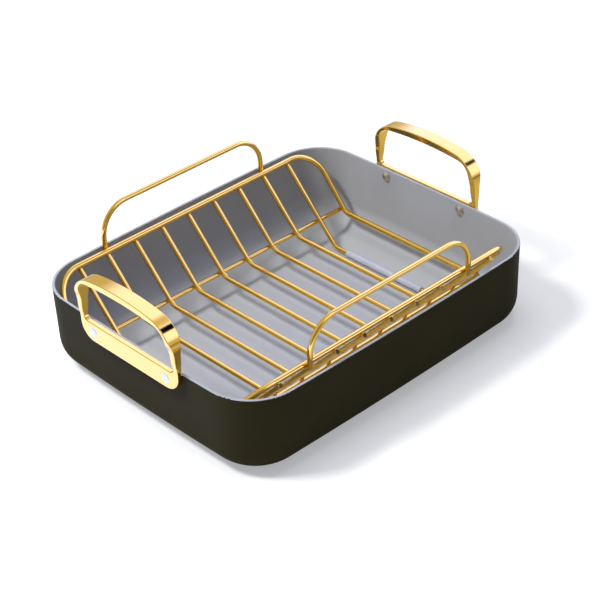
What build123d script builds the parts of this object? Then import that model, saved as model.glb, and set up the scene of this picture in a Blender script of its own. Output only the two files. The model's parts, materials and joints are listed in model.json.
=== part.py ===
from build123d import *
from math import asin, atan2, cos, radians, sin, sqrt, tan
import os

# A roasting pan with a loose wire rack.
# Millimetres, +Z up. The origin is the middle of the pan's flat base.
# +X runs along the pan's long side, +Y across it.

# Pan
pan_length = 406.0
pan_width = 328.4
pan_height = 91.0
wall = 3.0
wall_draft = 0.8
plan_corner_radius = 53.0
short_side_bow = 2.9
long_side_bow = 3.1
base_edge_radius = 30.0
rim_edge_radius = 0.9

# Rack: where it lies in the pan
rack_x = -3.0
rack_y = 4.0
floor_clearance = 0.3

# Rack: wire
frame_wire = 6.2
carrying_wire = 5.6
cross_wire = 5.4
side_wire = 4.9
sleeve_wall = 1.2
weld_sink = 0.2

# Rack: shape of the cradle
rail_to_pan_side = 19.2
rail_below_rim = 0.8
side_wire_to_rail = 43.3
side_wire_below_rim = 61.5
flat_below_rim = 63.0
end_wire_to_pan_side = 21.0
foot_wire_to_end_wire = 36.4
cradle_count = 9
rail_corner_radius = 33.0
bend_radius = 16.0
foot_bend_radius = 14.0
wire_end_past_rail = 1.5
side_wire_end_past = 1.6
sleeve_to_bend = 12.5

# Rack: carrying handles
grip_above_rim = 44.0
grip_lean = 1.2
grip_corner_radius = 33.0

# Pan handles: outline, seen from the end of the pan, heights from the rim
handle_half_width = 72.0
handle_side_lean = 0.6
handle_crown = 60.0
handle_corner_drop = 9.4
handle_base_drop = 20.0
handle_top_radius = 31.0
handle_base_radius = 18.0

# Pan handles: window
strap_width_low = 4.8
strap_width_high = 8.9
window_sill = 1.0
grip_height = 7.2
window_corner_drop = 4.4
window_top_radius = 15.0
window_sill_radius = 6.0

# Pan handles: section, a flat plate and strap that widens into a deep grip
plate_thickness = 5.4
grip_starts = 20.0
grip_full = 44.0
strap_outward = 1.7
strap_inward = 1.6
grip_outward = 5.7
grip_inward = 4.3
handle_edge_radius = 0.9
seam_angle = 10.0

# Rivets
rivet_to_handle_side = 18.5
rivet_below_rim = 9.2
rivet_shank = 5.0
rivet_outer_head = 9.8
rivet_outer_proud = 0.25
rivet_outer_depth = 1.6
rivet_inner_head = 12.2
rivet_inner_height = 3.2

# One overrun serves all cuts
overrun = 5.0

rim_z = pan_height
pan_half_length = pan_length / 2
pan_half_width = pan_width / 2
side_angle = radians(wall_draft)
rivet_y = handle_half_width - rivet_to_handle_side
rail_y = pan_half_width - rail_to_pan_side
side_wire_y = rail_y - side_wire_to_rail
end_wire_x = pan_half_length - end_wire_to_pan_side


def export(builder, name):
    """Names a finished piece and writes its file."""
    builder.part.label = name
    export_step(builder.part, f"parts/{name}.step")


os.makedirs("parts", exist_ok=True)


# Rivets


def short_side_x(y, below_rim):
    """How far out the bowed, drafted short side stands at a place on it."""
    half_chord = pan_half_width - long_side_bow
    bow_radius = (half_chord**2 + short_side_bow**2) / (2 * short_side_bow)
    bow_loss = bow_radius - sqrt(bow_radius**2 - y**2)
    return pan_half_length - bow_loss - below_rim * tan(side_angle)


def rivet(side, y):
    """One rivet of a pan handle, turned about its axis: domed head inside, flush head in the plate outside."""
    seat = short_side_x(y, rivet_below_rim) - wall
    face = pan_half_length + plate_thickness - seat
    place = Plane(origin=(side * seat, y, rim_z - rivet_below_rim), x_dir=(side, 0, 0), z_dir=(0, -side, 0))
    with BuildPart() as turned:
        with BuildSketch(place):
            with BuildLine():
                dome = TangentArc((-rivet_inner_height, 0), (0, rivet_inner_head / 2), tangent=(0, 1))
                Polyline(
                    dome @ 1,
                    (0, rivet_shank / 2),
                    (face - rivet_outer_depth, rivet_shank / 2),
                    (face - rivet_outer_depth, rivet_outer_head / 2),
                    (face + rivet_outer_proud, rivet_outer_head / 2),
                    (face + rivet_outer_proud, 0),
                    dome @ 0,
                )
            make_face()
        revolve(axis=Axis(place.origin, place.x_dir))
    return turned


rivets = {
    f"{side_name}_{place_name}_rivet": rivet(side, place * rivet_y)
    for side_name, side in (("left", -1), ("right", 1))
    for place_name, place in (("front", -1), ("back", 1))
}
for rivet_name, turned_rivet in rivets.items():
    export(turned_rivet, rivet_name)


# Pan body


def pan_solid(inset, base_z, top_z):
    """The pan's outside, or with an inset its hollow: bowed sides, drafted wall, rounded base edge."""
    half_length = pan_half_length - inset
    half_width = pan_half_width - inset
    corner_x = half_length - short_side_bow
    corner_y = half_width - long_side_bow
    corners = [(corner_x, corner_y), (-corner_x, corner_y), (-corner_x, -corner_y), (corner_x, -corner_y)]
    middles = [(0, half_width), (-half_length, 0), (0, -half_width), (half_length, 0)]
    with BuildPart() as solid:
        with BuildSketch(Plane.XY.offset(rim_z)) as plan:
            with BuildLine():
                for index, middle in enumerate(middles):
                    ThreePointArc(corners[index], middle, corners[(index + 1) % len(corners)])
            make_face()
            fillet(plan.vertices(), radius=plan_corner_radius - inset)
        extrude(amount=base_z - rim_z, taper=wall_draft)
        if top_z > rim_z:
            extrude(plan.sketch, amount=top_z - rim_z)
        base_edges = solid.faces().sort_by(Axis.Z)[0].edges()
        fillet(base_edges, radius=base_edge_radius - inset)
    return solid


pan_outside = pan_solid(0, 0, rim_z)
pan_hollow = pan_solid(wall, wall, rim_z + overrun)
with BuildPart() as pan_body:
    add(pan_outside.part)
    add(pan_hollow.part, mode=Mode.SUBTRACT)
    rim_edges = pan_body.faces().filter_by(Plane.XY).sort_by(Axis.Z)[-1].edges()
    fillet(rim_edges, radius=rim_edge_radius)
    for turned_rivet in rivets.values():
        add(turned_rivet.part, mode=Mode.SUBTRACT)
export(pan_body, "pan_body")


# Pan handles


def crowned_outline(half_low, half_high, base_z, corner_z, crown_z):
    """A closed line for a YZ sketch: flat base, sides that lean in, crowned top."""
    Polyline((-half_high, corner_z), (-half_low, base_z), (half_low, base_z), (half_high, corner_z))
    ThreePointArc((half_high, corner_z), (0, crown_z), (-half_high, corner_z))


def handle_edges(handle):
    """The handle's sharp edges that show, without the smooth seams and what the pan's wall cuts off."""
    chosen = ShapeList()
    for edge in handle.edges():
        middle = edge @ 0.5
        normals = [face.normal_at(middle) for face in handle.faces() if edge in face.edges()]
        sharp = normals[0].get_angle(normals[1]) > seam_angle
        shows = middle.X > pan_half_length + handle_edge_radius or middle.Z > rim_z + handle_edge_radius
        if sharp and shows:
            chosen.append(edge)
    return chosen


plate_face_x = pan_half_length + plate_thickness
grip_face_x = plate_face_x + grip_outward
grip_back_x = pan_half_length - grip_inward
handle_base_z = rim_z - handle_base_drop
handle_crown_z = rim_z + handle_crown
strap_end_z = rim_z + grip_starts
grip_full_z = rim_z + grip_full
block_x = pan_half_length - overrun


def swell(low, high):
    """One side of the handle's section between two upright stretches: two arcs, from low to high."""
    middle = ((low[0] + high[0]) / 2, (low[1] + high[1]) / 2)
    lower = TangentArc(low, middle, tangent=(0, 1))
    TangentArc(middle, high, tangent=lower % 1)


def side_of_section(plate_x, strap_x, grip_x):
    """One side of the handle's section above the rim: from the plate to the strap, then to the grip."""
    swell((plate_x, rim_z), (strap_x, strap_end_z))
    swell((strap_x, strap_end_z), (grip_x, grip_full_z))


with BuildPart() as right_pan_handle:
    with BuildSketch(Plane.YZ.offset(grip_back_x)) as front_view:
        with BuildLine():
            crowned_outline(
                handle_half_width,
                handle_half_width - handle_side_lean,
                handle_base_z,
                handle_crown_z - handle_corner_drop,
                handle_crown_z,
            )
        make_face()
        fillet(front_view.vertices().group_by(Axis.Y)[-1], radius=handle_top_radius)
        fillet(front_view.vertices().group_by(Axis.Y)[0], radius=handle_base_radius)
    extrude(amount=grip_face_x - grip_back_x)
    with BuildSketch(Plane.YZ.offset(grip_back_x)) as window:
        with BuildLine():
            crowned_outline(
                handle_half_width - strap_width_low,
                handle_half_width - handle_side_lean - strap_width_high,
                rim_z + window_sill,
                handle_crown_z - grip_height - window_corner_drop,
                handle_crown_z - grip_height,
            )
        make_face()
        fillet(window.vertices().group_by(Axis.Y)[-1], radius=window_top_radius)
        fillet(window.vertices().group_by(Axis.Y)[0], radius=window_sill_radius)
    extrude(amount=grip_face_x - grip_back_x, mode=Mode.SUBTRACT)
    with BuildSketch(Plane.XZ):
        with BuildLine():
            Polyline(
                (pan_half_length, rim_z),
                (block_x, rim_z),
                (block_x, handle_base_z),
                (plate_face_x, handle_base_z),
                (plate_face_x, rim_z),
            )
            side_of_section(plate_face_x, plate_face_x + strap_outward, grip_face_x)
            Polyline(
                (grip_face_x, grip_full_z),
                (grip_face_x, handle_crown_z),
                (grip_back_x, handle_crown_z),
                (grip_back_x, grip_full_z),
            )
            side_of_section(pan_half_length, pan_half_length - strap_inward, grip_back_x)
        make_face()
    extrude(amount=handle_half_width + overrun, both=True, mode=Mode.INTERSECT)
    fillet(handle_edges(right_pan_handle), radius=handle_edge_radius)
    add(pan_outside.part, mode=Mode.SUBTRACT)
    for rivet_name in ("right_front_rivet", "right_back_rivet"):
        add(rivets[rivet_name].part, mode=Mode.SUBTRACT)
export(right_pan_handle, "right_pan_handle")

with BuildPart() as left_pan_handle:
    mirror(right_pan_handle.part, about=Plane.YZ)
export(left_pan_handle, "left_pan_handle")


# Rack: where its wires run

rail_z = rim_z - rail_below_rim
side_wire_z = rim_z - side_wire_below_rim
flat_z = rim_z - flat_below_rim
grip_z = rim_z + grip_above_rim
sleeve_diameter = cross_wire + 2 * sleeve_wall
foot_z = wall + floor_clearance + sleeve_diameter / 2


def weld_distance(first_wire, second_wire):
    """How far apart the middles of two welded wires lie: each weld sinks them into each other a little."""
    return (first_wire + second_wire) / 2 - weld_sink


def cradle_slope(outside_rail, inside_side_wire):
    """The slope of a cradle wire: it passes the rail on the outside and the side wire on the inside.

    Returns the y and z of the slope's point beside the rail, and its angle below the horizontal."""
    reach_y = rail_y - side_wire_y
    reach_z = rail_z - side_wire_z
    reach = sqrt(reach_y**2 + reach_z**2)
    angle = atan2(reach_z, reach_y) - asin((outside_rail + inside_side_wire) / reach)
    return rail_y + outside_rail * sin(angle), rail_z - outside_rail * cos(angle), angle


def rack_point(x, y, z):
    """A place on the rack, where the rack lies in the pan."""
    return (rack_x + x, rack_y + y, z)


def bent_wire(points, radii, diameter, closed=False):
    """A wire bent to a route, one bend radius for each corner."""
    with BuildPart() as wire:
        with BuildLine() as route:
            FilletPolyline(*points, radius=radii, close=closed)
        with BuildSketch(Plane(origin=route.line @ 0, z_dir=route.line % 0)):
            Circle(diameter / 2)
        sweep(path=route.line)
    return wire


# Rack: frame wire

_, _, frame_angle = cradle_slope(0, weld_distance(frame_wire, side_wire))
frame_bend_y = rail_y - (rail_z - flat_z) / tan(frame_angle)
frame_points = []
for side in (1, -1):
    frame_points += [
        rack_point(end_wire_x, side * frame_bend_y, flat_z),
        rack_point(end_wire_x, side * rail_y, rail_z),
        rack_point(-end_wire_x, side * rail_y, rail_z),
        rack_point(-end_wire_x, side * frame_bend_y, flat_z),
    ][::side]
frame_radii = [bend_radius, rail_corner_radius, rail_corner_radius, bend_radius] * 2
rack_frame_wire = bent_wire(frame_points, frame_radii, frame_wire, closed=True)
export(rack_frame_wire, "rack_frame_wire")


# Rack: plain cradle wires and foot wires


slope_y, slope_z, slope_angle = cradle_slope(
    weld_distance(cross_wire, frame_wire), weld_distance(cross_wire, side_wire)
)


def cradle_bottom_y(bottom_z):
    """Where the slope of a cradle wire comes down to the height of its flat bottom."""
    return slope_y - (slope_z - bottom_z) / tan(slope_angle)


def cradle_wire(x, bottom_z, bottom_radius):
    """A wire that runs from under one rail down, across and up to the other rail."""
    end_y = slope_y + wire_end_past_rail * cos(slope_angle)
    end_z = slope_z + wire_end_past_rail * sin(slope_angle)
    bottom_y = cradle_bottom_y(bottom_z)
    points = [
        rack_point(x, -end_y, end_z),
        rack_point(x, -bottom_y, bottom_z),
        rack_point(x, bottom_y, bottom_z),
        rack_point(x, end_y, end_z),
    ]
    return bent_wire(points, bottom_radius, cross_wire)


cradle_middle = (cradle_count + 1) / 2
cradle_pitch = (end_wire_x - foot_wire_to_end_wire) / (cradle_middle - 1)
cradle_x = {number: (number - cradle_middle) * cradle_pitch for number in range(1, cradle_count + 1)}
for number in range(3, cradle_count - 1):
    export(cradle_wire(cradle_x[number], flat_z, bend_radius), f"cross_wire_{number}")

foot_x = {"left": cradle_x[1], "right": cradle_x[cradle_count]}
for side_name, x in foot_x.items():
    export(cradle_wire(x, foot_z, foot_bend_radius), f"{side_name}_foot_wire")


# Rack: carrying wire

beside_rail = weld_distance(carrying_wire, frame_wire)
leg_y = rail_y + beside_rail
tuck_y, tuck_z, tuck_angle = cradle_slope(beside_rail, weld_distance(carrying_wire, side_wire))
leg_foot_z = tuck_z + (leg_y - tuck_y) * tan(tuck_angle)
carrying_bend_y = tuck_y - (tuck_z - flat_z) / tan(tuck_angle)
carrying_x = cradle_x[cradle_count - 1]
carrying_points = []
carrying_radii = []
for x_side, y_side in ((1, 1), (-1, 1), (-1, -1), (1, -1)):
    x = x_side * carrying_x
    quarter = [
        rack_point(x, y_side * carrying_bend_y, flat_z),
        rack_point(x, y_side * leg_y, leg_foot_z),
        rack_point(x, y_side * (leg_y + grip_lean), grip_z),
    ]
    quarter_radii = [bend_radius, beside_rail, grip_corner_radius]
    if x_side != y_side:
        quarter.reverse()
        quarter_radii.reverse()
    carrying_points += quarter
    carrying_radii += quarter_radii
carrying = bent_wire(carrying_points, carrying_radii, carrying_wire, closed=True)
export(carrying, "carrying_wire")


# Rack: side wires under the lower bends

side_wire_half_length = end_wire_x + side_wire_end_past
for side_name, side in (("front", -1), ("back", 1)):
    with BuildPart() as lengthwise:
        with BuildSketch(Plane.YZ.offset(rack_x - side_wire_half_length)):
            with Locations((rack_y + side * side_wire_y, side_wire_z)):
                Circle(side_wire / 2)
        extrude(amount=2 * side_wire_half_length)
    export(lengthwise, f"{side_name}_side_wire")


# Rack: sleeves on the feet

foot_flat_half_length = cradle_bottom_y(foot_z) - foot_bend_radius * tan(slope_angle / 2)
sleeve_half_length = foot_flat_half_length - sleeve_to_bend
for side_name, x in foot_x.items():
    with BuildPart() as sleeve:
        with BuildSketch(Plane.XZ.offset(-rack_y - sleeve_half_length)):
            with Locations((rack_x + x, foot_z)):
                Circle(sleeve_diameter / 2)
                Circle(cross_wire / 2, mode=Mode.SUBTRACT)
        extrude(amount=2 * sleeve_half_length)
    export(sleeve, f"{side_name}_foot_sleeve")
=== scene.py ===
import json
import math
import bpy
from mathutils import Matrix, Vector


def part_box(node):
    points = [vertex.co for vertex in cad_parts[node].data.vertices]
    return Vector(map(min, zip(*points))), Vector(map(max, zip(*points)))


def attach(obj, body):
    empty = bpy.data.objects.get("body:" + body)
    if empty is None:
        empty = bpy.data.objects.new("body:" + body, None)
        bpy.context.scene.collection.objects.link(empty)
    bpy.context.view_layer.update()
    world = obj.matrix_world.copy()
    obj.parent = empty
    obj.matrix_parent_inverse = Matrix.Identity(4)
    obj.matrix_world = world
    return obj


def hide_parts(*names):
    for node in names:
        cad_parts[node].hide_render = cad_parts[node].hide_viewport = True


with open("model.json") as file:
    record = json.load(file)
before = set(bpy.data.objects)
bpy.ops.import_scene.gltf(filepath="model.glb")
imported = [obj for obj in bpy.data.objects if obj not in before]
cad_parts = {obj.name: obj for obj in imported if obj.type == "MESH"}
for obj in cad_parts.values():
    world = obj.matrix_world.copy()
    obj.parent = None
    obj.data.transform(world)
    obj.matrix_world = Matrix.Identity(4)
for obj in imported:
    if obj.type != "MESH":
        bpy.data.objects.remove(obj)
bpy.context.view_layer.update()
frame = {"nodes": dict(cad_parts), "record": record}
nodes = frame["nodes"]

# A roasting pan with a loose wire rack. Metres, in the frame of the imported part.
# +X runs along the pan's long side, +Y across it, +Z up.
mm = 0.001


# Wire sizes, and the places that the frame gives

frame_wire = 6.2 * mm
carrying_wire = 5.6 * mm
weld_sink = 0.2 * mm

rim_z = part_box("pan_body")[1].z
rail_low, rail_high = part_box("rack_frame_wire")
grip_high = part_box("carrying_wire")[1]
cross_low, cross_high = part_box("cross_wire_3")
side_low, side_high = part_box("back_side_wire")
foot_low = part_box("left_foot_wire")[0]

cross_wire = cross_high.x - cross_low.x
side_wire = side_high.z - side_low.z
rack_x = (rail_low.x + rail_high.x) / 2
rack_y = (rail_low.y + rail_high.y) / 2
rail_y = rail_high.y - rack_y - frame_wire / 2
rail_z = rail_high.z - frame_wire / 2
end_wire_x = rail_high.x - rack_x - frame_wire / 2
flat_z = cross_low.z + cross_wire / 2
foot_z = foot_low.z + cross_wire / 2
side_wire_y = (side_low.y + side_high.y) / 2 - rack_y
side_wire_z = (side_low.z + side_high.z) / 2
grip_x = grip_high.x - rack_x - carrying_wire / 2
grip_y = grip_high.y - rack_y - carrying_wire / 2
grip_z = grip_high.z - carrying_wire / 2

plain_wire_numbers = range(3, 8)

# The wires' bends and ends
bend_radius = 16.0 * mm
foot_bend_radius = 14.0 * mm
rail_corner_radius = 33.0 * mm
grip_corner_radius = 33.0 * mm
wire_end_past_rail = 1.5 * mm
cut_end = 0.5 * mm

# Weld beads, as shares of the cross wire
bead_width_share = 0.4
bead_height_share = 0.15
bead_lobe_share = 0.16
bead_lobes = 4

# Sleeve ends and the pan's bright edge
sleeve_lip = 0.4 * mm
rim_band = 0.45 * mm

# How fine the meshes are, and up to which angle they are smoothed
bend_step = math.radians(5)
wire_roundness = 8
bead_segments = 16
bead_rings = 8
sleeve_steps = 32
merge_distance = 0.001 * mm
wire_smoothing = math.radians(40)
bead_smoothing = math.radians(60)
sleeve_smoothing = math.radians(50)
shell_smoothing = math.radians(35)


# Studio values: brightness has 1 for white, places are in metres and patches in degrees

white = (1, 1, 1, 1)
floor_size = 20.0
floor_share = 0.75
floor_roughness = 0.9
floor_lift = 0.36
lift_grows_from = 0.5
lift_grows_to = 1.3

# The floor's painted reflection glow (a cool card that glows only in reflections) and the world's sheet are
# tinted cool, so that the gold's highlights turn cream
painted_reflection_glow = 0.85
painted_reflection_tint = (0.6, 0.85, 3.3, 1)
painted_reflection_starts_x = -0.21
painted_reflection_full_x = -0.25

sheet_glow = 1.65
sheet_tint = (0.88, 1.0, 2.7, 1)
sheet_slant = (0.8, -0.15, 1.0)
sheet_edge_from = 0.64
sheet_edge_to = 0.84
sheet_top_from = 0.76
sheet_top_to = 0.9

flag_towards = (0.56, -0.45, 0.69)
flag_inner = 7
flag_outer = 12
corner_towards = (-0.65, -0.7, 0.3)
corner_inner = 20
corner_outer = 55
corner_dim_share = 0.55

horizon_glow = 0.66
even_glow = 0.25
even_tint = (0.86, 0.95, 1.22, 1)

key_place = (-0.95, 0.6, 1.75)
key_size = 0.42
key_watts = 31
top_place = (0.1, 0.1, 2.2)
top_size = 1.3
top_watts = 16


# Camera

camera_azimuth = math.radians(-42.52)
camera_elevation = math.radians(33.67)
camera_roll = math.radians(-2.64)
camera_target = Vector((-43.1 * mm, -61.9 * mm, rim_z))
camera_distance = 1650.2 * mm
camera_lens = 101.87


def place_camera():
    """The photograph's viewpoint, from its azimuth, elevation, roll and distance."""
    back = Vector((
        math.sin(camera_azimuth) * math.cos(camera_elevation),
        -math.cos(camera_azimuth) * math.cos(camera_elevation),
        math.sin(camera_elevation),
    ))
    right = Vector((math.cos(camera_azimuth), math.sin(camera_azimuth), 0))
    up = back.cross(right)
    rolled_right = right * math.cos(camera_roll) + up * math.sin(camera_roll)
    rolled_up = up * math.cos(camera_roll) - right * math.sin(camera_roll)
    data = bpy.data.cameras.new("photo_camera")
    data.lens = camera_lens
    camera = bpy.data.objects.new("photo_camera", data)
    bpy.context.scene.collection.objects.link(camera)
    turn = Matrix((rolled_right, rolled_up, back)).transposed()
    camera.matrix_world = Matrix.Translation(camera_target + back * camera_distance) @ turn.to_4x4()
    bpy.context.scene.camera = camera


# Node helpers


def colour(hex_text):
    """An sRGB hex colour as linear RGBA."""
    shares = [int(hex_text[i : i + 2], 16) / 255 for i in (0, 2, 4)]
    linear = [share / 12.92 if share <= 0.04045 else ((share + 0.055) / 1.055) ** 2.4 for share in shares]
    return (*linear, 1.0)


def add_node(tree, kind, inputs=None, **settings):
    """Adds a node with its settings, and sets or links its inputs. A node stands for its first output."""
    node = tree.nodes.new(kind)
    for name, value in settings.items():
        setattr(node, name, value)
    for socket, value in (inputs or {}).items():
        if isinstance(value, bpy.types.Node):
            value = value.outputs[0]
        if isinstance(value, bpy.types.NodeSocket):
            tree.links.new(value, node.inputs[socket])
        else:
            node.inputs[socket].default_value = value
    return node


def new_material(name):
    """An empty material with its shader, its output and the place that patterns follow."""
    material = bpy.data.materials.new(name)
    material.use_nodes = True
    tree = material.node_tree
    tree.nodes.clear()
    shader = add_node(tree, "ShaderNodeBsdfPrincipled")
    add_node(tree, "ShaderNodeOutputMaterial", {"Surface": shader})
    place = add_node(tree, "ShaderNodeTexCoord").outputs["Object"]
    return material, tree, shader, place


def uneven_surface(tree, shader, place, tones, roughness, relief):
    """Gives a shader two close tones, an uneven shine and a fine relief, each in a cloudy pattern.

    Tones and roughness are given as (first, last, lump size, detail).
    Relief is given as (depth, strength, lump size, detail)."""
    patterns = []
    for _, _, lump_size, detail in (tones, roughness, relief):
        scale = 1 / lump_size
        patterns.append(
            add_node(tree, "ShaderNodeTexNoise", {"Vector": place, "Scale": scale, "Detail": detail})
        )
    tone, haze, height = patterns
    mix = add_node(
        tree, "ShaderNodeMix", {0: tone, 6: colour(tones[0]), 7: colour(tones[1])}, data_type="RGBA"
    )
    shine = add_node(
        tree, "ShaderNodeMapRange", {"Value": haze, "To Min": roughness[0], "To Max": roughness[1]}
    )
    bump = add_node(
        tree, "ShaderNodeBump", {"Height": height, "Distance": relief[0], "Strength": relief[1]}
    )
    tree.links.new(mix.outputs[2], shader.inputs["Base Color"])
    tree.links.new(shine.outputs[0], shader.inputs["Roughness"])
    tree.links.new(bump.outputs["Normal"], shader.inputs["Normal"])


# Materials


def gold_plated_steel():
    """Steel wire and forged handles, polished and then plated with a gold titanium nitride."""
    # The eye sees a warm yellow mirror, a little uneven in tone, with the faint waves of hand polishing.
    material, tree, shader, place = new_material("gold_plated_steel")
    shader.inputs["Metallic"].default_value = 1.0
    tones = ("F2C24E", "F6C95E", 22 * mm, 2.0)
    haze = (0.05, 0.11, 6 * mm, 2.0)
    polish_waves = (0.02 * mm, 0.5, 3.5 * mm, 1.0)
    uneven_surface(tree, shader, place, tones, haze, polish_waves)
    return material


def ceramic_coating():
    """A sol-gel ceramic coating, sprayed on the blasted inside and baked."""
    # The eye sees a cool grey with a silky shine and the fine dimples of a sprayed film.
    material, tree, shader, place = new_material("ceramic_coating")
    shader.inputs["IOR"].default_value = 1.25
    tones = ("ABADB0", "B2B4B7", 45 * mm, 3.0)
    film = (0.34, 0.46, 18 * mm, 2.0)
    # Sprayed dimples are about 0.3 mm across; they are drawn 1.4 mm across, so that they show.
    dimples = (0.03 * mm, 0.5, 1.4 * mm, 1.0)
    uneven_surface(tree, shader, place, tones, film, dimples)
    return material


def dark_outer_coating():
    """A high-heat silicone enamel, sprayed on the outside, nearly black with an olive tint."""
    # The eye sees a dark satin skin whose wide soft shine breaks up a little in fine grain.
    material, tree, shader, place = new_material("dark_outer_coating")
    shader.inputs["IOR"].default_value = 1.08
    # A warm tint keeps the shine neutral under the cool softboxes.
    shader.inputs["Specular Tint"].default_value = (1.0, 0.8, 0.35, 1)
    tones = ("35311E", "3B3722", 30 * mm, 3.0)
    film = (0.46, 0.56, 10 * mm, 2.0)
    # The grain is about 0.2 mm; it is drawn at 0.9 mm, so that it shows.
    grain = (0.03 * mm, 0.5, 0.9 * mm, 2.0)
    uneven_surface(tree, shader, place, tones, film, grain)
    return material


def satin_rivet_steel():
    """Stainless steel rivets, headed cold and tumbled."""
    # The eye sees bright, slightly warm grey metal with a soft shine and small dents from tumbling.
    material, tree, shader, place = new_material("satin_rivet_steel")
    shader.inputs["Metallic"].default_value = 1.0
    tones = ("C6C2B8", "D4D0C6", 4 * mm, 2.0)
    haze = (0.22, 0.32, 4 * mm, 2.0)
    dents = (0.03 * mm, 0.6, 1.1 * mm, 1.0)
    uneven_surface(tree, shader, place, tones, haze, dents)
    return material


def milky_silicone():
    """Clear silicone tube, drawn over the feet of the rack."""
    # The eye sees a cloudy bluish grey that takes the floor's tone, with a bright waxy line on top.
    material, tree, shader, place = new_material("milky_silicone")
    shader.inputs["IOR"].default_value = 1.41
    shader.inputs["Subsurface Weight"].default_value = 0.25
    shader.inputs["Subsurface Radius"].default_value = (2.0 * mm, 2.0 * mm, 2.2 * mm)
    shader.inputs["Subsurface Scale"].default_value = 1.0
    cloud = ("B0B3C0", "BFC1CC", 9 * mm, 2.0)
    haze = (0.14, 0.22, 9 * mm, 2.0)
    skin = (0.02 * mm, 0.4, 1.5 * mm, 1.0)
    uneven_surface(tree, shader, place, cloud, haze, skin)
    return material


# Modelling helpers


def select_only(piece):
    """Makes a piece the only selected and the active one."""
    bpy.ops.object.select_all(action="DESELECT")
    bpy.context.view_layer.objects.active = piece
    piece.select_set(True)


def tidy_mesh(piece, smoothing):
    """Merges double points, turns the faces outwards and smooths the round parts."""
    select_only(piece)
    bpy.ops.object.mode_set(mode="EDIT")
    bpy.ops.mesh.select_all(action="SELECT")
    bpy.ops.mesh.remove_doubles(threshold=merge_distance)
    bpy.ops.mesh.normals_make_consistent(inside=False)
    bpy.ops.object.mode_set(mode="OBJECT")
    bpy.ops.object.shade_smooth_by_angle(angle=smoothing)


def finish_piece(piece, material, slot, body, *replaced):
    """Gives a finished piece its material and body, and hides the nodes that it stands for. The slot is not
    used.
    """
    piece.data.materials.clear()
    piece.data.materials.append(material)
    if replaced:
        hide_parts(*replaced)
    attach(piece, body)


# How the rack's wires lie


def on_rack(x, y, z):
    """A place on the rack, where the rack lies in the pan."""
    return Vector((rack_x + x, rack_y + y, z))


def middle_x(node):
    """How far along the rack a cradle wire stands."""
    low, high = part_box(node)
    return (low.x + high.x) / 2 - rack_x


def weld_distance(first_wire, second_wire):
    """How far apart the middles of two welded wires lie."""
    return (first_wire + second_wire) / 2 - weld_sink


def cradle_slope(outside_rail, inside_side_wire):
    """The slope of a wire that passes the rail on the outside and the side wire on the inside.

    Returns the y and z of its point beside the rail, and its angle below the horizontal."""
    reach_y = rail_y - side_wire_y
    reach_z = rail_z - side_wire_z
    reach = math.hypot(reach_y, reach_z)
    angle = math.atan2(reach_z, reach_y) - math.asin((outside_rail + inside_side_wire) / reach)
    return rail_y + outside_rail * math.sin(angle), rail_z - outside_rail * math.cos(angle), angle


beside_rail = weld_distance(carrying_wire, frame_wire)
leg_y = rail_y + beside_rail
frame_angle = cradle_slope(0, weld_distance(frame_wire, side_wire))[2]
tuck_y, tuck_z, tuck_angle = cradle_slope(beside_rail, weld_distance(carrying_wire, side_wire))
slope_y, slope_z, slope_angle = cradle_slope(
    weld_distance(cross_wire, frame_wire), weld_distance(cross_wire, side_wire)
)


# Wires


def rounded_route(points, radii, closed):
    """The points of a wire's middle line: straight runs joined by arcs of the given radii."""
    corners = [Vector(point) for point in points]
    count = len(corners)
    inner = range(count) if closed else range(1, count - 1)
    route = [] if closed else [corners[0]]
    for index, radius in zip(inner, radii):
        corner = corners[index]
        towards_last = (corners[index - 1] - corner).normalized()
        towards_next = (corners[(index + 1) % count] - corner).normalized()
        turn = math.pi - towards_last.angle(towards_next)
        start = corner + towards_last * radius * math.tan(turn / 2)
        middle = corner + (towards_last + towards_next).normalized() * radius / math.cos(turn / 2)
        axis = (-towards_last).cross(towards_next).normalized()
        steps = max(2, math.ceil(turn / bend_step))
        for step in range(steps + 1):
            route.append(middle + Matrix.Rotation(turn * step / steps, 3, axis) @ (start - middle))
    if not closed:
        route.append(corners[-1])
    return route


def bent_wire(name, points, radii, diameter, closed=False):
    """A round wire along a route, its cut ends a little rounded."""
    route = rounded_route(points, radii, closed)
    shares = [1.0] * len(route)
    if not closed:
        # Each end gets a second point a little way in, where the wire has its full size.
        first_full = route[0] + (route[1] - route[0]).normalized() * cut_end
        last_full = route[-1] + (route[-2] - route[-1]).normalized() * cut_end
        route = [route[0], first_full] + route[1:-1] + [last_full, route[-1]]
        cut_share = 1 - 2 * cut_end / diameter
        shares = [cut_share] + [1.0] * (len(route) - 2) + [cut_share]
    data = bpy.data.curves.new(name, "CURVE")
    data.dimensions = "3D"
    data.bevel_depth = diameter / 2
    data.bevel_resolution = wire_roundness
    data.use_fill_caps = not closed
    spline = data.splines.new("POLY")
    spline.points.add(len(route) - 1)
    for point, place, share in zip(spline.points, route, shares):
        point.co = (*place, 1)
        point.radius = share
    spline.use_cyclic_u = closed
    wire = bpy.data.objects.new(name, data)
    bpy.context.scene.collection.objects.link(wire)
    select_only(wire)
    bpy.ops.object.convert(target="MESH")
    tidy_mesh(wire, wire_smoothing)
    return wire


def cradle_wire(name, x, bottom_z, bottom_radius):
    """A wire from under one rail down, across and up to the other rail."""
    end_y = slope_y + wire_end_past_rail * math.cos(slope_angle)
    end_z = slope_z + wire_end_past_rail * math.sin(slope_angle)
    bottom_y = slope_y - (slope_z - bottom_z) / math.tan(slope_angle)
    points = [
        on_rack(x, -end_y, end_z),
        on_rack(x, -bottom_y, bottom_z),
        on_rack(x, bottom_y, bottom_z),
        on_rack(x, end_y, end_z),
    ]
    return bent_wire(name, points, [bottom_radius] * 2, cross_wire)


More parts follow.
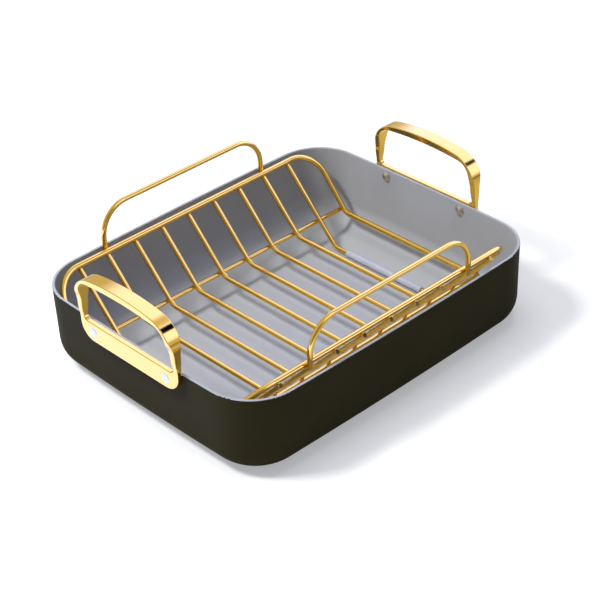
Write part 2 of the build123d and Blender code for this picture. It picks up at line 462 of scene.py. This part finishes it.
def frame_loop():
    """The rack's closed frame: two rails, and at each end a slope, a flat and a slope."""
    bend_y = rail_y - (rail_z - flat_z) / math.tan(frame_angle)
    points = []
    for side in (1, -1):
        points += [
            on_rack(end_wire_x, side * bend_y, flat_z),
            on_rack(end_wire_x, side * rail_y, rail_z),
            on_rack(-end_wire_x, side * rail_y, rail_z),
            on_rack(-end_wire_x, side * bend_y, flat_z),
        ][::side]
    radii = [bend_radius, rail_corner_radius, rail_corner_radius, bend_radius] * 2
    return bent_wire("polished_frame_wire", points, radii, frame_wire, closed=True)


def carrying_loop():
    """The closed wire of both carrying handles, which dips under the rack's middle."""
    tuck_bottom_y = tuck_y - (tuck_z - flat_z) / math.tan(tuck_angle)
    leg_foot_z = tuck_z + (leg_y - tuck_y) * math.tan(tuck_angle)
    points = []
    radii = []
    for x_side, y_side in ((1, 1), (-1, 1), (-1, -1), (1, -1)):
        quarter = [
            on_rack(x_side * grip_x, y_side * tuck_bottom_y, flat_z),
            on_rack(x_side * grip_x, y_side * leg_y, leg_foot_z),
            on_rack(x_side * grip_x, y_side * grip_y, grip_z),
        ]
        quarter_radii = [bend_radius, beside_rail, grip_corner_radius]
        if x_side != y_side:
            quarter.reverse()
            quarter_radii.reverse()
        points += quarter
        radii += quarter_radii
    return bent_wire("polished_carrying_wire", points, radii, carrying_wire, closed=True)


def side_wire_rod(name, node):
    """A straight side wire under the lower bends."""
    low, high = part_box(node)
    middle_y = (low.y + high.y) / 2
    middle_z = (low.z + high.z) / 2
    return bent_wire(name, [(low.x, middle_y, middle_z), (high.x, middle_y, middle_z)], [], side_wire)


# Weld beads


def weld_bead(name):
    """One bead at the origin: a flat drop of melted wire with lobes, which fill the wires' notches."""
    bpy.ops.object.select_all(action="DESELECT")
    bpy.ops.mesh.primitive_uv_sphere_add(segments=bead_segments, ring_count=bead_rings, radius=1.0)
    bead = bpy.context.object
    bead.name = name
    half_width = bead_width_share * cross_wire
    half_height = bead_height_share * cross_wire
    for point in bead.data.vertices:
        around = math.atan2(point.co.y, point.co.x)
        lobe = 1 - bead_lobe_share * math.cos(bead_lobes * around)
        point.co = Vector((
            point.co.x * half_width * lobe,
            point.co.y * half_width * lobe,
            point.co.z * half_height,
        ))
    return bead


def weld_place(wire_y, wire_z, wire_size, x, side, angle, above):
    """Where a crossing wire touches a lengthwise wire, and how the bead lies there."""
    out = Vector((0, side * math.sin(angle), -math.cos(angle)))
    if above:
        out = -out
    place = on_rack(x, side * wire_y, wire_z) + out * (wire_size - weld_sink) / 2
    along = Vector((1, 0, 0))
    turn = Matrix((along, out.cross(along), out)).transposed()
    return Matrix.Translation(place) @ turn.to_4x4()


def rack_welds(material):
    """All beads of the rack, copied from one and joined: at the rails and at the side wires."""
    cradle_x = [middle_x(f"cross_wire_{number}") for number in plain_wire_numbers]
    cradle_x += [middle_x("left_foot_wire"), middle_x("right_foot_wire")]
    slopes = [(x, slope_angle) for x in cradle_x] + [(side * grip_x, tuck_angle) for side in (1, -1)]
    end_slopes = [(side * end_wire_x, frame_angle) for side in (1, -1)]
    places = {"rail_welds": [], "side_wire_welds": []}
    for side in (1, -1):
        for x, angle in slopes:
            places["rail_welds"].append(weld_place(rail_y, rail_z, frame_wire, x, side, angle, False))
        for x, angle in slopes + end_slopes:
            places["side_wire_welds"].append(
                weld_place(side_wire_y, side_wire_z, side_wire, x, side, angle, True)
            )
    for name, turns in places.items():
        first = weld_bead(name)
        copies = []
        for turn in turns[1:]:
            bead = first.copy()
            bead.data = first.data.copy()
            bead.data.transform(turn)
            bpy.context.scene.collection.objects.link(bead)
            copies.append(bead)
        first.data.transform(turns[0])
        select_only(first)
        for bead in copies:
            bead.select_set(True)
        bpy.ops.object.join()
        joined = bpy.context.object
        tidy_mesh(joined, bead_smoothing)
        finish_piece(joined, material, "gold_steel", "rack")


# Foot sleeves


def turned(name, profile, steps):
    """A ring turned about the Y axis from a closed profile of (radius, y) points."""
    data = bpy.data.meshes.new(name)
    edges = [(index, (index + 1) % len(profile)) for index in range(len(profile))]
    data.from_pydata([(radius, y, 0) for radius, y in profile], edges, [])
    piece = bpy.data.objects.new(name, data)
    bpy.context.scene.collection.objects.link(piece)
    select_only(piece)
    bpy.ops.object.mode_set(mode="EDIT")
    bpy.ops.mesh.select_all(action="SELECT")
    bpy.ops.mesh.spin(steps=steps, angle=2 * math.pi, center=(0, 0, 0), axis=(0, 1, 0))
    bpy.ops.object.mode_set(mode="OBJECT")
    return piece


def foot_sleeve(side_name):
    """A soft tube pushed over a foot wire, with rounded lips at its ends."""
    low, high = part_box(f"{side_name}_foot_sleeve")
    half_length = (high.y - low.y) / 2
    outside = (high.x - low.x) / 2
    bore = cross_wire / 2
    lip_in = sleeve_lip * (1 - math.sqrt(0.5))
    near_end = [
        (bore, -half_length + sleeve_lip),
        (bore + lip_in, -half_length + lip_in),
        (bore + sleeve_lip, -half_length),
        (outside - sleeve_lip, -half_length),
        (outside - lip_in, -half_length + lip_in),
        (outside, -half_length + sleeve_lip),
    ]
    far_end = [(radius, -y) for radius, y in reversed(near_end)]
    sleeve = turned(f"{side_name}_clear_sleeve", near_end + far_end, sleeve_steps)
    sleeve.data.transform(Matrix.Translation((low + high) / 2))
    tidy_mesh(sleeve, sleeve_smoothing)
    return sleeve


# Pan shell


def pan_shell(outside, inside):
    """The pan's pressed body, with its two coatings told apart."""
    shell = bpy.data.objects.new("pan_shell", nodes["pan_body"].data.copy())
    bpy.context.scene.collection.objects.link(shell)
    select_only(shell)
    bpy.ops.object.mode_set(mode="EDIT")
    bpy.ops.mesh.select_all(action="SELECT")
    bpy.ops.mesh.remove_doubles(threshold=merge_distance)
    bpy.ops.mesh.customdata_custom_splitnormals_clear()
    bpy.ops.object.mode_set(mode="OBJECT")
    bpy.ops.object.shade_smooth_by_angle(angle=shell_smoothing)
    shell.data.materials.clear()
    shell.data.materials.append(outside)
    shell.data.materials.append(inside)
    mouth = Vector((0, 0, rim_z))
    for face in shell.data.polygons:
        on_rim = face.center.z > rim_z - rim_band
        looks_in = face.normal.dot(mouth - face.center) > 0
        face.material_index = 1 if on_rim or looks_in else 0
    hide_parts("pan_body")
    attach(shell, "pan")


# Studio


def light(name, place, size, power):
    """A square soft lamp that points at the pan. Metal shows the world's softboxes instead of it."""
    data = bpy.data.lights.new(name, "AREA")
    data.shape = "SQUARE"
    data.size = size
    data.energy = power
    lamp = bpy.data.objects.new(name, data)
    bpy.context.scene.collection.objects.link(lamp)
    lamp.location = place
    lamp.rotation_euler = (-Vector(place)).to_track_quat("-Z", "Y").to_euler()
    lamp.visible_glossy = False


def studio_floor():
    """A pale floor that keeps the shadow, that the camera sees lifted to white, and that glows cool white
    left of the pan for glossy rays only, as a painted reflection.
    """
    bpy.ops.object.select_all(action="DESELECT")
    bpy.ops.mesh.primitive_plane_add(size=floor_size, location=(0, 0, 0))
    floor = bpy.context.object
    floor.name = "studio_floor"
    material, tree, shader, place = new_material("white_floor")
    shader.inputs["Base Color"].default_value = (floor_share, floor_share, floor_share, 1)
    shader.inputs["Roughness"].default_value = floor_roughness
    shader.inputs["Specular IOR Level"].default_value = 0.0
    along = add_node(tree, "ShaderNodeSeparateXYZ", {0: place}).outputs["X"]
    distance = add_node(tree, "ShaderNodeVectorMath", {0: place}, operation="LENGTH").outputs["Value"]
    # Left of the pan the floor glows cool white for glossy rays only: a painted reflection of a card, which
    # is no lamp.
    painted_reflection = add_node(
        tree,
        "ShaderNodeMapRange",
        {
            "Value": along,
            "From Min": painted_reflection_full_x,
            "From Max": painted_reflection_starts_x,
            "To Min": painted_reflection_glow,
            "To Max": 0.0,
        },
        interpolation_type="SMOOTHSTEP",
    )
    # Far from the pan, where the lamps grow weak, the floor is lifted more.
    lift = add_node(
        tree,
        "ShaderNodeMapRange",
        {
            "Value": distance,
            "From Min": lift_grows_from,
            "From Max": lift_grows_to,
            "To Min": floor_lift,
            "To Max": 1.0,
        },
        interpolation_type="SMOOTHSTEP",
    )
    path = add_node(tree, "ShaderNodeLightPath")
    surface = shader
    # The camera sees the lift to white, and glossy rays see the painted reflection glow.
    for tint, glow, rays in ((white, lift, "Is Camera Ray"), (painted_reflection_tint, painted_reflection, "Is Glossy Ray")):
        strength = add_node(tree, "ShaderNodeMath", {0: glow, 1: path.outputs[rays]}, operation="MULTIPLY")
        emission = add_node(tree, "ShaderNodeEmission", {"Color": tint, "Strength": strength})
        surface = add_node(tree, "ShaderNodeAddShader", {0: surface, 1: emission})
    output = next(node for node in tree.nodes if node.type == "OUTPUT_MATERIAL")
    tree.links.new(surface.outputs[0], output.inputs["Surface"])
    floor.data.materials.append(material)


def patch(tree, direction, towards, inner, outer, strength):
    """A round patch of the world, full inside one angle in degrees and gone outside another."""
    aim = Vector(towards).normalized()
    dot = add_node(tree, "ShaderNodeVectorMath", {0: direction, 1: aim}, operation="DOT_PRODUCT")
    return add_node(
        tree,
        "ShaderNodeMapRange",
        {
            "Value": dot.outputs["Value"],
            "From Min": math.cos(math.radians(outer)),
            "From Max": math.cos(math.radians(inner)),
            "To Min": 0.0,
            "To Max": strength,
        },
        interpolation_type="SMOOTHSTEP",
    )


def bright_sheet(tree, direction):
    """How much of the bright sheet a direction meets, 0 to 1."""
    # It hangs on the right, up to a dim gap overhead, and its lower edge falls to the front right.
    slant = add_node(
        tree, "ShaderNodeVectorMath", {0: direction, 1: sheet_slant}, operation="DOT_PRODUCT"
    )
    above_edge = add_node(
        tree,
        "ShaderNodeMapRange",
        {"Value": slant.outputs["Value"], "From Min": sheet_edge_from, "From Max": sheet_edge_to},
        interpolation_type="SMOOTHSTEP",
    )
    height = add_node(tree, "ShaderNodeSeparateXYZ", {0: direction}).outputs["Z"]
    below_gap = add_node(
        tree,
        "ShaderNodeMapRange",
        {
            "Value": height,
            "From Min": sheet_top_from,
            "From Max": sheet_top_to,
            "To Min": 1.0,
            "To Max": 0.0,
        },
        interpolation_type="SMOOTHSTEP",
    )
    return add_node(tree, "ShaderNodeMath", {0: above_edge, 1: below_gap}, operation="MULTIPLY")


def studio_world():
    """White where the camera looks past the object, softboxes in reflections, even light elsewhere."""
    world = bpy.data.worlds.new("studio")
    bpy.context.scene.world = world
    world.use_nodes = True
    tree = world.node_tree
    tree.nodes.clear()
    direction = add_node(tree, "ShaderNodeTexCoord").outputs["Generated"]

    # What metal shows: a plain room with a dim corner on the left, the sheet, and a small black flag.
    dim_corner = patch(tree, direction, corner_towards, corner_inner, corner_outer, corner_dim_share)
    undimmed = add_node(tree, "ShaderNodeMath", {0: 1.0, 1: dim_corner}, operation="SUBTRACT")
    room_glow = add_node(tree, "ShaderNodeMath", {0: undimmed, 1: horizon_glow}, operation="MULTIPLY")
    room = add_node(tree, "ShaderNodeBackground", {"Color": white, "Strength": room_glow})
    sheet = add_node(tree, "ShaderNodeBackground", {"Color": sheet_tint, "Strength": sheet_glow})
    black = add_node(tree, "ShaderNodeBackground", {"Strength": 0.0})
    black_flag = patch(tree, direction, flag_towards, flag_inner, flag_outer, 1.0)
    reflected = add_node(tree, "ShaderNodeMixShader", {0: bright_sheet(tree, direction), 1: room, 2: sheet})
    reflected = add_node(tree, "ShaderNodeMixShader", {0: black_flag, 1: reflected, 2: black})

    # What lights the object, and what the camera sees.
    even = add_node(tree, "ShaderNodeBackground", {"Color": even_tint, "Strength": even_glow})
    plain_white = add_node(tree, "ShaderNodeBackground", {"Color": white, "Strength": 1.0})
    path = add_node(tree, "ShaderNodeLightPath").outputs
    around = add_node(tree, "ShaderNodeMixShader", {0: path["Is Glossy Ray"], 1: even, 2: reflected})
    seen = add_node(
        tree,
        "ShaderNodeMath",
        {0: path["Is Camera Ray"], 1: path["Is Transmission Ray"]},
        operation="ADD",
        use_clamp=True,
    )
    mix = add_node(tree, "ShaderNodeMixShader", {0: seen, 1: around, 2: plain_white})
    add_node(tree, "ShaderNodeOutputWorld", {"Surface": mix})


place_camera()

# Finishes
gold = gold_plated_steel()
ceramic = ceramic_coating()
outer_coating = dark_outer_coating()
steel = satin_rivet_steel()
silicone = milky_silicone()
finish_of_slot = {"gold_steel": gold, "rivet_steel": steel, "clear_silicone": silicone}
for subpart in frame["record"]["subparts"]:
    finish = finish_of_slot.get(subpart["material_slot"])
    if finish:
        nodes[subpart["node"]].data.materials[0] = finish

# Pan
pan_shell(outer_coating, ceramic)

# Rack
finish_piece(frame_loop(), gold, "gold_steel", "rack", "rack_frame_wire")
finish_piece(carrying_loop(), gold, "gold_steel", "rack", "carrying_wire")
for number in plain_wire_numbers:
    plain_wire = cradle_wire(
        f"polished_cross_wire_{number}", middle_x(f"cross_wire_{number}"), flat_z, bend_radius
    )
    finish_piece(plain_wire, gold, "gold_steel", "rack", f"cross_wire_{number}")
for side_name in ("left", "right"):
    foot_wire = cradle_wire(
        f"polished_{side_name}_foot_wire", middle_x(f"{side_name}_foot_wire"), foot_z, foot_bend_radius
    )
    finish_piece(foot_wire, gold, "gold_steel", "rack", f"{side_name}_foot_wire")
    finish_piece(foot_sleeve(side_name), silicone, "clear_silicone", "rack", f"{side_name}_foot_sleeve")
for side_name in ("front", "back"):
    rod = side_wire_rod(f"polished_{side_name}_side_wire", f"{side_name}_side_wire")
    finish_piece(rod, gold, "gold_steel", "rack", f"{side_name}_side_wire")
rack_welds(gold)

# Studio
studio_floor()
studio_world()
light("key_lamp", key_place, key_size, key_watts)
light("top_lamp", top_place, top_size, top_watts)

bpy.context.scene.view_settings.view_transform = "Standard"
